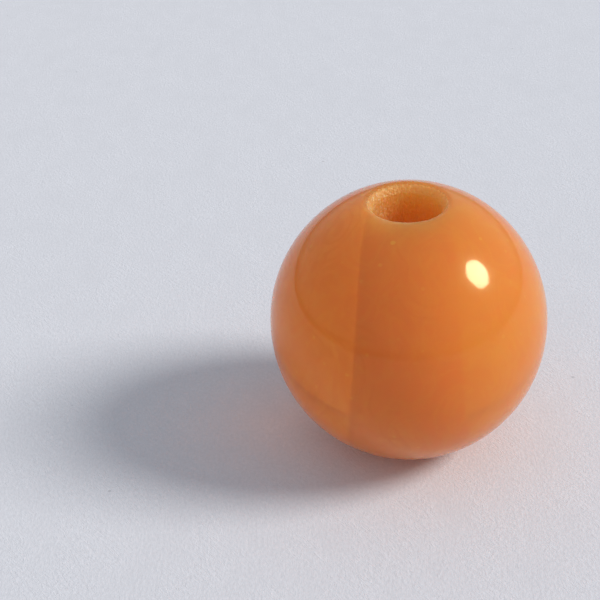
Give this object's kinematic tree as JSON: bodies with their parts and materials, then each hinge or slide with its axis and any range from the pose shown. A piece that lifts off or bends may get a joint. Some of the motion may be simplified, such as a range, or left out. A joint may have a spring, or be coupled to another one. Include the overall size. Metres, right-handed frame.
{
  "type": "round stone bead",
  "caption": "Round polished bead of translucent orange stone, drilled through along its upright axis, with a ground bore and rounded rims.",
  "frame": {"origin": "the bead's centre, on the bore's axis and halfway between its two rims", "axes": "+Z along the bore's axis; the bead is the same all round it and the same from either end"},
  "size_m": [0.01, 0.01, 0.0096],
  "materials": {
    "polished_stone": "polished"
  },
  "bodies": {
    "root": {"stone_bead": "polished_stone"}
  },
  "joints": []
}
